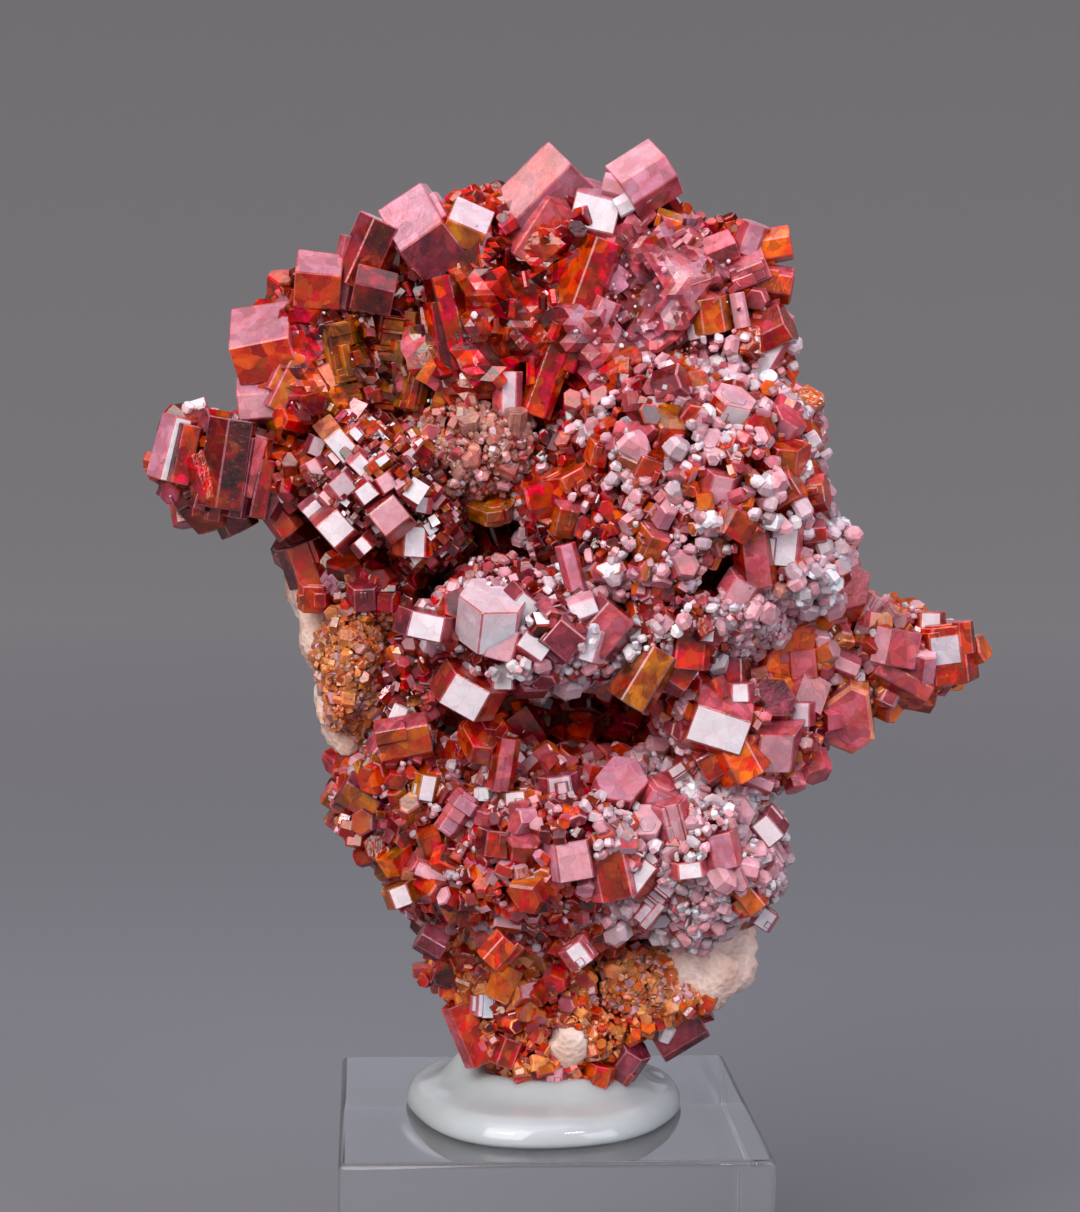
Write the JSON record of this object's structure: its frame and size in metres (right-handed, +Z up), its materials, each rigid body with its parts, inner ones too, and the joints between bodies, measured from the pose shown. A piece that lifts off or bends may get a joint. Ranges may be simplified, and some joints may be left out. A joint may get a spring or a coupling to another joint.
{
  "type": "vanadinite on matrix",
  "caption": "Cluster of red hexagonal vanadinite crystals on pale rock, stuck with a putty pad to a clear acrylic display block.",
  "frame": {"origin": "centre of the acrylic block's underside", "axes": "+Z up, -Y towards the crystal face, +X to the right when the crystal face is seen from the front"},
  "size_m": [0.0629, 0.0337, 0.0932],
  "materials": {
    "vanadinite": "glassy, resinous",
    "matrix": "dull, fine grained",
    "putty": "soft gloss, translucent",
    "acrylic": "polished, clear"
  },
  "bodies": {
    "root": {"acrylic_block": "acrylic", "mineral_tack": "putty", "matrix_rock": "matrix", "crest_crystals": "vanadinite", "left_arm_crystals": "vanadinite", "left_cluster_crystals": "vanadinite", "centre_druse": "vanadinite", "right_dome_crystals": "vanadinite", "centre_cluster_crystals": "vanadinite", "right_arm_crystals": "vanadinite", "right_shelf_crystals": "vanadinite", "lower_lobe_crystals": "vanadinite", "foot_druse": "vanadinite", "left_edge_druse": "vanadinite", "back_crystals": "vanadinite"}
  },
  "joints": []
}
